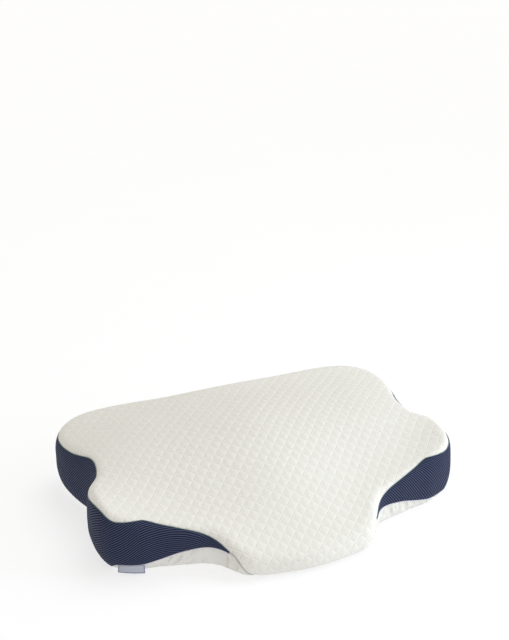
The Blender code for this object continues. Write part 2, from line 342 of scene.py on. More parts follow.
class Skin:
    """One face of the form, laid out flat along the sections.

    start is where the flat lay-out begins on each section, and rows are the points
    from there to the seam. Inside start the cloth is the plan itself.
    """

    def __init__(self, form, start, rows, facing):
        self.form, self.facing = form, facing
        self.core, self.e, self.start = form.core.copy(), form.e.copy(), start
        steps = np.linalg.norm(np.diff(rows, axis=1), axis=2)
        run = np.concatenate([np.zeros((len(rows), 1)), np.cumsum(steps, axis=1)], axis=1)
        self.length = run[:, -1]
        share = np.linspace(0, 1, SKIN_STEPS)
        table = np.empty((len(rows), SKIN_STEPS, 3))
        for i in range(len(rows)):
            for k in range(3):
                table[i, :, k] = np.interp(share * run[i, -1], run[i], rows[i, :, k])
        table[[0, -1], :, 0] = 0
        self.table = table
        around, out = np.gradient(table, axis=0), np.gradient(table, axis=1)
        normal = np.cross(out, around) * facing
        normal[[0, -1], :, 0] = 0
        self.normal = normal / np.linalg.norm(normal, axis=2)[..., None]
        self.share = np.linspace(0, 1, len(rows))

    def line(self, values, u):
        return np.stack([np.interp(u, self.share, v) for v in values.T], axis=1)

    def section(self, flat):
        """The section that passes through each flat point, with x at least 0."""
        low, high = np.zeros(len(flat)), np.ones(len(flat))
        for _ in range(34):
            u = (low + high) / 2
            d = flat - self.line(self.core, u)
            e = self.line(self.e, u)
            before = d[:, 0] * e[:, 1] - d[:, 1] * e[:, 0] > 0
            low, high = np.where(before, u, low), np.where(before, high, u)
        return (low + high) / 2

    def look(self, table, u, f):
        n, m = table.shape[:2]
        i = np.clip(u * (n - 1), 0, n - 1 - 1e-9)
        j = np.clip(f * (m - 1), 0, m - 1 - 1e-9)
        i0, j0 = i.astype(int), j.astype(int)
        a, b = (i - i0)[:, None], (j - j0)[:, None]
        return (
            table[i0, j0] * (1 - a) * (1 - b)
            + table[i0 + 1, j0] * a * (1 - b)
            + table[i0, j0 + 1] * (1 - a) * b
            + table[i0 + 1, j0 + 1] * a * b
        )

    def place(self, flat):
        """Points and directions of flat cloth on the form, the mm left to the seam, and the section."""
        side = np.where(flat[:, 0] < 0, -1.0, 1.0)
        half = flat * [1, 1]
        half[:, 0] = np.abs(half[:, 0])
        u = self.section(half)
        out = -((half - self.line(self.start, u)) * self.line(self.e, u)).sum(axis=1)
        if self.facing > 0:  # the ellipse on the crown is where the sections start
            ring = (half[:, 0] / CROWN_X) ** 2 + ((half[:, 1] - CROWN_MID) / CROWN_Y) ** 2
            inside = ring < 1
        else:
            inside = out < 0
        length = np.interp(u, self.share, self.length)
        f = np.clip(out / length, 0, 1)
        points, normal = self.look(self.table, u, f), self.look(self.normal, u, f)
        x, y = half[inside].T
        if self.facing > 0:
            level = self.form.height(x, y)
            dx = self.form.height(x + 1, y) - self.form.height(np.abs(x - 1), y)
            dy = self.form.height(x, y + 1) - self.form.height(x, y - 1)
            points[inside] = np.column_stack([x, y, level])
            normal[inside] = np.column_stack([-dx / 2, -dy / 2, np.ones(len(x))])
        else:
            points[inside] = np.column_stack([x, y, np.zeros(len(x))])
            normal[inside] = (0, 0, -1)
        normal /= np.linalg.norm(normal, axis=1)[:, None]
        points[:, 0] *= side
        normal[:, 0] *= side
        left = np.where(inside, length + 20, length - out)
        return points, normal, left, u

    def rim(self, share, beyond=0.0):
        """The seam on the flat cloth, for the right half."""
        length = np.interp(share, self.share, self.length)[:, None]
        return self.line(self.start, share) - self.line(self.e, share) * (length + beyond)


def top_skin(form):
    form.sections(np.linspace(0, 1, SKIN_STATIONS))
    rows = [form.crown(k / 60) for k in range(60)]
    quarter = math.pi / 2
    rows += [form.side(blend(quarter, form.top_seam, (k / 90) ** 1.6)) for k in range(91)]
    return Skin(form, form.core.copy(), np.stack(rows, axis=1), 1)


def base_skin(form):
    form.sections(np.linspace(0, 1, SKIN_STATIONS))
    quarter = math.pi / 2
    rows = [form.side(blend(-quarter, form.low_seam, (k / 90) ** 1.5)) for k in range(91)]
    start = form.p + form.e * form.base_reach[:, None]
    return Skin(form, start, np.stack(rows, axis=1), -1)


# ---------------------------------------------------------------- the quilting
def quilt_to_flat(a, b):
    """A place on the lattice, in mm along its two directions, on the flat cloth."""
    turn = math.radians(QUILT_TURN)
    x = a * math.cos(turn) - b * math.sin(turn)
    y = a * math.sin(turn) + b * math.cos(turn)
    less = math.radians(FRONT_TURN) * smooth(-y, 70, 170) * (1 - 0.7 * smooth(np.abs(x), 60, 200))
    dx = -less * (y + 70) + 1.1 * waves(x, y, 3, 260, 2)
    dy = less * x + 1.1 * waves(x, y, 4, 240, 2)
    return np.column_stack([x + dx, y + dy])


def flat_to_quilt(flat):
    turn = math.radians(QUILT_TURN)
    guess = flat.copy()
    for _ in range(12):
        a = guess[:, 0] * math.cos(turn) + guess[:, 1] * math.sin(turn)
        b = -guess[:, 0] * math.sin(turn) + guess[:, 1] * math.cos(turn)
        guess = guess + (flat - quilt_to_flat(a, b))
    return np.column_stack([a, b])


def sink(form, u):
    """How far the cloth is drawn in at the seam, on the sections u."""
    first, last = gusset_tips(form)
    open_front = 1 - smooth(u, first - 0.012, first + 0.006)
    open_back = smooth(u, last - 0.01, last + 0.01)
    return SEAM_SINK + PINCH * open_front + 0.5 * PINCH * open_back


def quilted(skin, cell, ridge, drop, shape, ring):
    """The quilted face as points, faces and flat pattern, ending on the seam's ring.

    shape(points, normal, left, u, flat) gives further movement along the normal.
    """
    place, swell, twin = np.array(LATTICE).T
    count = 40
    lines = (np.arange(-count, count)[:, None] * PITCH + place).ravel()
    swell, twin = np.tile(swell, 2 * count), np.tile(twin, 2 * count)
    reach = 430.0
    n = len(lines)
    ia, ib = np.meshgrid(np.arange(n), np.arange(n), indexing="ij")
    near = lines[ia] ** 2 + lines[ib] ** 2 < reach**2
    ia, ib = ia[near], ib[near]
    flat = quilt_to_flat(lines[ia], lines[ib])
    points, normal, left, u = skin.place(flat)
    kept = left > 1.7
    number = -np.ones((n, n), int)
    number[ia[kept], ib[kept]] = np.arange(kept.sum())
    corners = np.stack(
        [number[:-1, :-1], number[1:, :-1], number[1:, 1:], number[:-1, 1:]], axis=-1
    )
    square = (corners >= 0).all(axis=-1)
    # a lone corner of the lattice joins the cloth along whole squares only
    quads = corners[square]
    used = np.unique(quads)
    renumber = -np.ones(kept.sum(), int)
    renumber[used] = np.arange(len(used))
    quads = renumber[quads]
    pick = np.flatnonzero(kept)[used]
    ia, ib, flat = ia[pick], ib[pick], flat[pick]
    points, normal, left, u = points[pick], normal[pick], left[pick], u[pick]

    random = np.random.default_rng(11)
    fullness = random.uniform(0.84, 1.12, (2 * count, 2 * count))
    cells = fullness[ia // len(place), ib // len(place)]
    calm = smooth(left, 0.4, 6.0)
    # the wings and the back are stretched harder over the foam
    pull = 1 - 0.38 * smooth(np.abs(points[:, 0]), 120, 235) * smooth(points[:, 1], -190, -90)
    pull = np.minimum(pull, 1 - 0.35 * smooth(points[:, 1], 60, 170))
    # and the tongue lies flatter
    pull = np.minimum(pull, 1 - 0.22 * smooth(-points[:, 1], 20, 110))
    cells = cells * pull
    body = 1 - np.minimum(((1 - swell[ia]) ** 2.6 + (1 - swell[ib]) ** 2.6) ** (1 / 2.6), 1)
    low, high = np.minimum(twin[ia], twin[ib]), np.maximum(twin[ia], twin[ib])
    twins = np.where(high > 0, np.where(low < 0, 0.3, high), low)
    lift = cell * body * cells * calm
    lift += ridge * twins * (0.35 + 0.65 * calm)
    lift -= drop
    lift += shape(points, normal, left, u, flat)
    deep = sink(skin.form, u)
    lift -= (deep - drop) * (1 - smooth(left, 0.0, 4.0 + 1.6 * deep))
    moved = points + normal * lift[:, None]
    # relief and twins go to the shader, where they place the painted highlight on the channels and ridges
    # and the painted shade in the grooves
    relief = body * calm
    twins = twins * (0.4 + 0.6 * calm)

    # the strip between the lattice and the seam
    edges = np.concatenate([quads[:, [k, (k + 1) % 4]] for k in range(4)])
    key = np.sort(edges, axis=1)
    _, first, times = np.unique(key, axis=0, return_index=True, return_counts=True)
    rim = edges[first[times == 1]]
    share = np.linspace(0, 1, HALF_RING + 1)
    seam_flat = whole(skin.rim(share))
    border = np.unique(rim)
    local = -np.ones(len(points), int)
    local[border] = np.arange(len(border))
    where = np.concatenate([flat[border], seam_flat])
    m, k = len(border), len(seam_flat)
    wires = [tuple(e) for e in local[rim].tolist()]
    wires += [(m + i, m + (i + 1) % k) for i in range(k)]
    found = geometry.delaunay_2d_cdt([Vector(p) for p in where.tolist()], wires, [], 1, 1e-6)
    _, _, faces, origin = found[0], found[1], found[2], found[3]
    back = [min(o) if o else -1 for o in origin]
    ab = flat_to_quilt(seam_flat)
    strip = []
    taken = np.zeros((n, n), bool)
    taken[:-1, :-1] = square
    for face in faces:
        ids = [back[v] for v in face]
        if min(ids) < 0:
            raise RuntimeError("the seam strip crosses itself")
        if max(ids) < m:
            a = np.mean([lines[ia[border[v]]] for v in ids])
            b = np.mean([lines[ib[border[v]]] for v in ids])
            if taken[np.searchsorted(lines, a) - 1, np.searchsorted(lines, b) - 1]:
                continue
        flat3 = where[ids]
        turn = np.cross(flat3[1] - flat3[0], flat3[2] - flat3[0])
        ids = ids if turn > 0 else ids[::-1]
        strip.append([int(border[v]) if v < m else len(points) + v - m for v in ids])

    verts = np.concatenate([moved, ring])
    pattern = np.concatenate([np.column_stack([lines[ia], lines[ib]]), ab])
    relief = np.concatenate([relief, np.zeros(k)])
    twins = np.concatenate([twins, np.zeros(k)])
    # painted shade along the seams, for the shader: strongest where the seam sinks deepest, faded towards
    # the middle of the front
    depth = np.clip(sink(skin.form, np.concatenate([u, share, share[-2:0:-1]])) / 2.7, 0, 1)
    crease_shade = np.concatenate([1 - smooth(left, 0.0, 6.0), np.ones(k)]) * depth
    aside = np.abs(verts[:, 0])
    crease_shade *= np.where(verts[:, 1] < 0, 0.3 + 0.7 * smooth(aside, 108, 128), 1)
    faces = quads.tolist() + strip
    if skin.facing < 0:
        faces = [f[::-1] for f in faces]
    return verts, faces, pattern, {"relief": relief, "twin": twins, "crease_shade": crease_shade}


# ---------------------------------------------------------------- mesh helpers
def solid(name, verts, faces, layers):
    """A smooth mesh object; layers holds a pattern in pitches and point values."""
    mesh = bpy.data.meshes.new(name)
    moved = (np.asarray(verts) + [0, CENTRE_Y, 0]) / 1000
    mesh.from_pydata(moved.tolist(), [], faces)
    loops = np.empty(len(mesh.loops), np.int32)
    mesh.loops.foreach_get("vertex_index", loops)
    for key, values in layers.items():
        values = np.asarray(values, np.float32)
        if values.ndim == 2:
            layer = mesh.uv_layers.new(name=key)
            layer.data.foreach_set("uv", values[loops].ravel())
        else:
            layer = mesh.attributes.new(key, "FLOAT", "POINT")
            layer.data.foreach_set("value", values)
    mesh.shade_smooth()
    mesh.validate()
    mesh.update()
    piece = bpy.data.objects.new(name, mesh)
    bpy.context.scene.collection.objects.link(piece)
    return piece


def padded_out(layers, verts):
    """The point values, with 0 for the points of the hidden turn-in after them."""
    return {k: np.concatenate([v, np.zeros(len(verts) - len(v))]) for k, v in layers.items()}


def between(a, b, closed=True, flip=False):
    """Quads between two rows of point numbers; outward when the rows run down the side."""
    pairs = len(a) if closed else len(a) - 1
    quads = [[a[i], b[i], b[(i + 1) % len(a)], a[(i + 1) % len(a)]] for i in range(pairs)]
    return [q[::-1] for q in quads] if flip else quads


# ----------------------------------------------------------------- the panels
def top_panel(form):
    skin = top_skin(form)
    share = np.linspace(0, 1, HALF_RING + 1)
    form.sections(share)
    quarter = math.pi / 2
    deep = sink(form, share)
    form.sections(share)
    seam = form.side(form.top_seam) - form.normals(form.top_seam) * deep[:, None]

    def shape(points, normal, left, u, flat):
        x, y, z = points.T
        # the foam under the cloth is never quite even
        soft = 0.55 * waves(x, y, 21, 190, 2) * smooth(left, 4, 40)
        return soft

    verts, faces, pattern, layers = quilted(skin, TOP_CELL, TOP_RIDGE, 0.0, shape, whole(seam))
    form.sections(share)
    ring = list(range(len(verts) - 2 * HALF_RING, len(verts)))
    rows = []
    tucked = form.lower(form.top_seam, 0.2)
    rows.append(form.side(tucked) - form.normals(tucked) * (deep + (REBATE - deep) * 0.5)[:, None])
    rows.append(form.side(tucked) - form.normals(tucked) * REBATE)
    for k in range(1, 4):
        angle = blend(form.top_seam, form.low_seam, k / 3)
        rows.append(form.side(angle) - form.normals(angle) * REBATE)
    for k in range(1, 5):
        angle = blend(form.low_seam, -quarter, k / 4)
        rows.append(form.side(angle) - form.normals(angle) * REBATE)
    rows[-1][:, 2] = REBATE
    flat = pattern[ring]
    for row in rows:
        number = len(verts)
        verts = np.concatenate([verts, whole(row)])
        pattern = np.concatenate([pattern, flat])
        lower = list(range(number, number + 2 * HALF_RING))
        faces += between(ring, lower)
        ring = lower
    faces.append(ring[::-1])
    return solid("top_panel", verts, faces, {"quilt": pattern / PITCH, **padded_out(layers, verts)})


def bottom_panel(form):
    skin = base_skin(form)
    share = np.linspace(0, 1, HALF_RING + 1)
    form.sections(share)
    quarter = math.pi / 2
    deep = np.minimum(sink(form, share), SHEET - 0.5)
    form.sections(share)
    edge = form.lower(form.low_seam, SEAM_GAP / 2)
    seam = form.side(edge) - form.normals(edge) * deep[:, None]
    run = form.run[-1]

    def shape(points, normal, left, u, flat):
        """Gathers that run down from the lower seam, deepest in the front recesses."""
        x, y, z = points.T
        s = u * run * np.where(x < 0, -1, 1)
        recess = smooth(-y, 95, 150) * (0.25 + 0.75 * smooth(np.abs(x), 108, 128)) * (
            1 - smooth(np.abs(x), 262, 292)
        )
        deep = (0.25 + 1.0 * recess) * np.where(x > 0, 0.5, 1.0)
        slant = np.sign(x) * blend(0.1, 1.0, smooth(np.abs(x), 135, 215))
        fold = 0
        for k, (length, skew, share) in enumerate(
            ((17.0, 0.1, 1.0), (11.5, -0.3, 0.8), (8.0, 0.35, 0.55), (25.0, -0.1, 0.7))
        ):
            wander = waves(s, left * 0 + k * 90, 40 + k, 110, 2)
            tall = 0.5 + 0.5 * waves(s, left * 0, 60 + k, 75, 2)
            phase = (s + (skew * np.sign(x) - slant) * left) / length * math.tau + wander * 1.5
            fold = fold + share * np.clip(tall, 0, 1.3) * (1 - np.abs(np.sin(phase / 2)) ** 0.8)
        reach = smooth(left, 0.3, 5) * (1 - smooth(left, 18, 46))
        return (fold - 0.95) * 5.2 * deep * reach * smooth(z, 1.0, 9)

    verts, faces, pattern, layers = quilted(
        skin, BASE_CELL, BASE_RIDGE, BASE_CELL, shape, whole(seam)
    )
    form.sections(share)
    verts[:, 2] = np.maximum(verts[:, 2], 0)
    ring = list(range(len(verts) - 2 * HALF_RING, len(verts)))
    rows = [form.side(edge) - form.normals(edge) * SHEET]
    for k in range(1, 7):
        angle = blend(form.low_seam, -quarter, k / 6)
        rows.append(form.side(angle) - form.normals(angle) * SHEET)
    rows[-1][:, 2] = SHEET
    flat = pattern[ring]
    for row in rows:
        number = len(verts)
        verts = np.concatenate([verts, whole(row)])
        pattern = np.concatenate([pattern, flat])
        lower = list(range(number, number + 2 * HALF_RING))
        faces += between(ring, lower, flip=True)
        ring = lower
    faces.append(ring)
    return solid(
        "bottom_panel_cloth", verts, faces, {"quilt": pattern / PITCH, **padded_out(layers, verts)}
    )


# ---------------------------------------------------------------- the gussets
def gusset_tips(form):
    fine = np.linspace(0, 1, 1601)
    form.sections(fine)
    wide = np.flatnonzero(form.seam_width() > TIP_WIDTH)
    return fine[wide[0]], fine[wide[-1]]


def gusset(form, name, side, rises, along=620, across=112):
    """A strip of ribbed air mesh between the two seams, side 1 or -1."""
    first, last = gusset_tips(form)
    share = np.linspace(first, last, along + 1)
    form.sections(share)
    top = form.lower(form.top_seam, SEAM_GAP)
    low = form.lower(form.low_seam, -SEAM_GAP / 2)
    high, deep = angle_height(np.degrees(top)), angle_height(np.degrees(low))

    def down(share):
        return height_angle(blend(high, deep, share))

    stack = np.stack([form.side(down(k / 60)) for k in range(61)])
    steps = np.linalg.norm(np.diff(stack, axis=0), axis=2)
    run = np.concatenate([np.zeros((1, along + 1)), np.cumsum(steps, axis=0)])
    width = run[-1]
    middle = stack[30]
    length = np.concatenate([[0], np.cumsum(np.linalg.norm(np.diff(middle, axis=0), axis=1))])
    rise = np.radians(np.interp(length, *np.array(rises, float).T))
    kernel = np.hanning(51)
    rise = np.convolve(np.pad(rise, 25, mode="edge"), kernel / kernel.sum(), mode="valid")
    step = np.gradient(length)
    across_line = np.cumsum(-np.sin(rise) * step)
    along_line = np.cumsum(np.cos(rise) * step)
    angles, points, ribs, pattern, edge = [], [], [], [], []
    for k in range(across + 1):
        want = width * k / across
        angle = np.empty(along + 1)
        for i in range(along + 1):
            angle[i] = np.interp(want[i], run[:, i], np.arange(61) / 60)
        angle = down(angle)
        up = width / 2 - want
        phase = (across_line + up * np.cos(rise)) / RIB
        other = (along_line + up * np.sin(rise)) / RIB
        left = np.minimum(want, width - want)
        calm = smooth(left, 0.2, 2.6)
        rib = (0.5 + 0.5 * np.cos(phase * math.tau)) ** 1.15
        lift = RIB_HEIGHT * (rib - 0.35) * (0.25 + 0.75 * calm)
        lift += 0.9 * np.sin(math.pi * k / across) * smooth(width, 10, 45)
        lift += 0.35 * waves(length, up, 71 + side, 60, 2) * calm * smooth(width, 8, 30)
        lift -= 0.5 * (1 - calm)
        points.append(form.side(angle) + form.normals(angle) * lift[:, None])
        pattern.append(np.column_stack([other, phase]))
        ribs.append(rib * calm)
        edge.append(1 - smooth(left, 0.6, 3.2))
        angles.append(angle)
    back = []
    for k in range(8, -1, -1):
        angle = down(k / 8)
        back.append(form.side(angle) - form.normals(angle) * SHEET)
    rows = points + back
    layers = pattern + [pattern[-1]] * 9
    values = ribs + [ribs[-1] * 0] * 9
    edges = edge + [edge[-1]] * 9
    count = along + 1
    faces = []
    for r in range(len(rows)):
        a = list(range(r * count, (r + 1) * count))
        s = (r + 1) % len(rows)
        b = list(range(s * count, (s + 1) * count))
        faces += between(a, b, closed=False)
    faces.append([r * count for r in range(len(rows))][::-1])
    faces.append([r * count + along for r in range(len(rows))])
    verts = np.concatenate(rows)
    if side < 0:
        verts = verts * [-1, 1, 1]
        faces = [f[::-1] for f in faces]
    area = float(np.sum(np.gradient(length) * width)) / 1e6
    piece = solid(
        name,
        verts,
        faces,
        {
            "rib": np.concatenate(layers),
            "relief": np.concatenate(values),
            "edge": np.concatenate(edges),
        },
    )
    return piece, (float(length[-1]) / 1000, float(width.max()) / 1000, area)


def thread(form, name, side, which, lift, radius, pitch):
    """A row of chain stitches as one thread that swells at each stitch."""
    first, last = gusset_tips(form)
    form.sections(np.linspace(first, last, 1200))
    angle = form.lower(form.top_seam, SEAM_GAP / 2) if which > 0 else form.low_seam
    path = form.side(angle) + form.normals(angle) * lift
    normal = form.normals(angle)
    run = np.concatenate([[0], np.cumsum(np.linalg.norm(np.diff(path, axis=0), axis=1))])
    places = np.arange(0, run[-1], pitch / 5)
    centre = np.stack([np.interp(places, run, path[:, k]) for k in range(3)], axis=1)
    out = np.stack([np.interp(places, run, normal[:, k]) for k in range(3)], axis=1)
    ahead = np.gradient(centre, axis=0)
    ahead /= np.linalg.norm(ahead, axis=1)[:, None]
    out -= ahead * (out * ahead).sum(axis=1)[:, None]
    out /= np.linalg.norm(out, axis=1)[:, None]
    across = np.cross(ahead, out)
    phase = places / pitch
    swell = 0.62 + 0.38 * np.abs(np.sin(phase * math.pi)) ** 0.7
    rise = 0.22 * np.abs(np.sin(phase * math.pi))
    sway = 0.16 * np.sin(phase * math.pi * 2)
    centre = centre + out * rise[:, None] + across * sway[:, None]
    sides = 8
    rows = []
    for k in range(sides):
        turn = math.tau * k / sides
        rows.append(
            centre + (out * math.cos(turn) + across * math.sin(turn)) * (radius * swell)[:, None]
        )
    verts = np.stack(rows, axis=1).reshape(-1, 3)
    count = len(places)
    faces = []
    for i in range(count - 1):
        for k in range(sides):
            n = (k + 1) % sides
            faces.append([i * sides + k, i * sides + n, (i + 1) * sides + n, (i + 1) * sides + k])
    faces.append(list(range(sides))[::-1])
    faces.append([(count - 1) * sides + k for k in range(sides)])
    if side < 0:
        verts = verts * [-1, 1, 1]
        faces = [f[::-1] for f in faces]
    return solid(name, verts, faces, {})


# ------------------------------------------------------------------- the label
def label_tab(form, along=84, down=26):
    """The blank tab, its border woven a little proud, as a closed thin sheet."""
    fine = np.linspace(0, 1, 1601)
    form.sections(fine)
    front = np.flatnonzero(form.p[:, 1] < -80)
    middle = front[int(np.argmin(np.abs(form.p[front, 0] + LABEL_X)))]
    half = LABEL_WIDTH / 2 / form.run[-1]
    form.sections(np.linspace(fine[middle] - half, fine[middle] + half, along + 1))
    seam = form.side(form.low_seam)
    normal = form.normals(form.low_seam)
    seam += normal * LABEL_TUCK
    out = form.normals(form.low_seam * 0)
    out[:, 2] = 0
    drop = seam[:, 2] - LABEL_FLOOR
    width = np.linalg.norm(np.diff(seam, axis=0), axis=1).sum()
    u = np.linspace(0, width, along + 1)
    faces_out, faces_in, pattern, border = [], [], [], []
    for k in range(down + 1):
        s = k / down
        row = seam + out * (LABEL_FLARE * s**1.25)
        row[:, 2] = blend(seam[:, 2], LABEL_FLOOR, s)
        tall = float(drop.mean())
        v = tall * s
        margin = np.minimum(np.minimum(u, width - u), tall - v)
        proud = 0.16 * (smooth(margin, 0.0, 0.5) - smooth(margin, 1.3, 1.8))
        round_off = 0.5 * (1 - np.sqrt(np.clip(1 - (1 - np.clip(margin, 0, 0.6) / 0.6) ** 2, 0, 1)))
        ripple = 0.22 * waves(u, u * 0 + v, 90, 30, 1) * s
        faces_out.append(row + out * (LABEL_SHEET - round_off + proud + ripple)[:, None])
        faces_in.append(row + out * (round_off * 0.8 + ripple)[:, None])
        pattern.append(np.column_stack([u, u * 0 + v]))
        border.append((1 - smooth(margin, 1.2, 1.8)) * np.ones(along + 1))
    rows = faces_out + faces_in[::-1]
    verts = np.concatenate(rows) * [-1, 1, 1]
    count = along + 1
    faces = []
    for r in range(len(rows)):
        s = (r + 1) % len(rows)
        a = list(range(r * count, (r + 1) * count))
        b = list(range(s * count, (s + 1) * count))
        faces += between(a, b, closed=False, flip=True)
    ends = [r * count for r in range(len(rows))]
    faces.append(ends)
    faces.append([e + along for e in ends][::-1])
    return solid(
        "label_tab",
        verts,
        faces,
        {
            "weave": np.concatenate(pattern + pattern[::-1]),
            "border": np.concatenate(border + border[::-1]),
        },
    ), (width / 1000, (tall + 1.0) / 1000)


# ------------------------------------------------------------------- materials
class Cloth:
    """A material under construction, with short ways to add and join nodes."""

    def __init__(self, name, roughness, sheen=0.0, sheen_colour=(1, 1, 1), sheen_rough=0.5):
        self.material = bpy.data.materials.new(name)
        self.material.use_nodes = True
        self.tree = self.material.node_tree
        self.shader = self.tree.nodes["Principled BSDF"]
        put = self.shader.inputs
        put["Roughness"].default_value = roughness
        put["Specular IOR Level"].default_value = 0.25
        put["Sheen Weight"].default_value = sheen
        put["Sheen Roughness"].default_value = sheen_rough
        put["Sheen Tint"].default_value = (*sheen_colour, 1)

    def node(self, kind, inputs=(), **settings):
        made = self.tree.nodes.new(kind)
        for key, value in settings.items():
            setattr(made, key, value)
        for key, value in dict(inputs).items():
            self.feed(made.inputs[key], value)
        return made

    def feed(self, socket, value):
        if isinstance(value, bpy.types.NodeSocket):
            self.tree.links.new(value, socket)
        else:
            socket.default_value = value

    def math(self, operation, a, b=0.0):
        return self.node("ShaderNodeMath", {0: a, 1: b}, operation=operation).outputs[0]

    def mix(self, factor, a, b):
        made = self.node("ShaderNodeMix", data_type="RGBA")
        self.feed(made.inputs[0], factor)
        for socket, value in ((made.inputs[6], a), (made.inputs[7], b)):
            self.feed(socket, value if isinstance(value, bpy.types.NodeSocket) else (*value, 1))
        return made.outputs[2]

    def value(self, name):
        return self.node("ShaderNodeAttribute", attribute_name=name).outputs["Fac"]

    def flat(self, name):
        uv = self.node("ShaderNodeUVMap", uv_map=name).outputs[0]
        split = self.node("ShaderNodeSeparateXYZ", {0: uv})
        return uv, split.outputs[0], split.outputs[1]

    def noise(self, vector, scale, detail=2.0, roughness=0.5):
        made = self.node("ShaderNodeTexNoise", {"Scale": scale, "Detail": detail, "Roughness": roughness})
        self.feed(made.inputs["Vector"], vector)
        return made.outputs["Fac"]

    def wave(self, value, per_unit):
        """From 0 to 1 and back, per_unit times in each unit of value."""
        turned = self.math("MULTIPLY", value, per_unit * math.tau)
        return self.math("MULTIPLY_ADD", self.math("SINE", turned), 0.5)

    def ping(self, value):
        """How far a value is from the nearest whole number."""
        return self.math("PINGPONG", value, 0.5)

    def dome(self, value):
        """From 0 at whole numbers up to 1 half-way between them, along a parabola."""
        slope = self.math("MULTIPLY_ADD", self.ping(value), -2.0)
        slope.node.inputs[2].default_value = 1.0
        return self.math("SUBTRACT", 1.0, self.math("MULTIPLY", slope, slope))

    def step(self, value, low, high):
        made = self.node(
            "ShaderNodeMapRange",
            {"Value": value, "From Min": low, "From Max": high},
            interpolation_type="SMOOTHSTEP",
        )
        return made.outputs[0]

    def place(self):
        return self.node("ShaderNodeTexCoord").outputs["Object"]

    def bump(self, height, distance, strength=1.0):
        made = self.node("ShaderNodeBump", {"Strength": strength, "Distance": distance})
        self.feed(made.inputs["Height"], height)
        self.feed(self.shader.inputs["Normal"], made.outputs[0])

    def colour(self, value):
        self.feed(self.shader.inputs["Base Color"], value)


def knit(name, cell, channel, crease_shade):
    """Warm white knit: loops 1.3 mm apart, a light fuzz; the channel floors and twin ridges carry a
    painted highlight, the grooves a painted shade over the thread's own tone, and the seam creases a
    painted shade.
    """
    cloth = Cloth(name, 0.92, sheen=0.12, sheen_rough=0.6)
    uv, a, b = cloth.flat("quilt")
    across = cloth.math("ADD", a, b)
    along = cloth.math("SUBTRACT", a, b)
    loops = PITCH / 1.3 / math.sqrt(2)
    courses = cloth.wave(across, loops)
    wales = cloth.wave(along, loops * 1.25)
    stitch = cloth.math("MULTIPLY", courses, wales)
    fuzz = cloth.noise(cloth.place(), 2600.0, 3.0, 0.65)
    slub = cloth.noise(cloth.place(), 420.0, 3.0, 0.6)
    height = cloth.math("MULTIPLY", stitch, 0.00009)
    height = cloth.math("ADD", height, cloth.math("MULTIPLY", fuzz, 0.00007))
    height = cloth.math("ADD", height, cloth.math("MULTIPLY", slub, 0.00008))
    # the cell's foot is steeper than its threads can turn
    apart = cloth.math("MINIMUM", cloth.ping(a), cloth.ping(b))
    foot = cloth.step(apart, 2.3 / PITCH, 3.2 / PITCH)
    height = cloth.math("ADD", height, cloth.math("MULTIPLY", foot, 0.00014))
    # and its face is a little domed
    dome = cloth.math("MULTIPLY", cloth.dome(a), cloth.dome(b))
    height = cloth.math("ADD", height, cloth.math("MULTIPLY", dome, 0.00018))
    cloth.bump(height, 1.0, 1.0)
    relief = cloth.value("relief")
    patch = cloth.noise(cloth.place(), 11.0, 3.0, 0.55)
    tone = cloth.mix(cloth.math("MULTIPLY", slub, 0.35), cell, tuple(c * 0.96 for c in cell))
    shade = tuple(c * w for c, w in zip(cell, (0.97, 0.96, 0.93)))
    tone = cloth.mix(cloth.math("MULTIPLY", patch, 0.5), tone, shade)
    # painted highlight: the channels between the cells are drawn a little lighter than the cells
    hollow = cloth.math("SUBTRACT", 1.0, relief)
    tone = cloth.mix(cloth.math("MULTIPLY", hollow, 0.4), tone, tuple(c * 1.05 for c in cell))
    # the grooves take the darker channel colour, a painted shade over the thread's own tone; the twin
    # ridges are drawn lighter, a painted highlight
    twin = cloth.value("twin")
    groove = cloth.node("ShaderNodeClamp", {0: cloth.math("MULTIPLY", twin, -1.0)}).outputs[0]
    raised = cloth.node("ShaderNodeClamp", {0: twin}).outputs[0]
    tone = cloth.mix(groove, tone, channel)
    tone = cloth.mix(cloth.math("MULTIPLY", raised, 0.9), tone, tuple(min(c * 1.12, 0.84) for c in cell))
    # painted shade in the seam creases: the tone is drawn towards the crease colour along the sunk seams
    crease_shade_weight = cloth.math("POWER", cloth.value("crease_shade"), 1.8)
    tone = cloth.mix(cloth.math("MULTIPLY", crease_shade_weight, 0.6), tone, crease_shade)
    cloth.colour(tone)
    return cloth.material


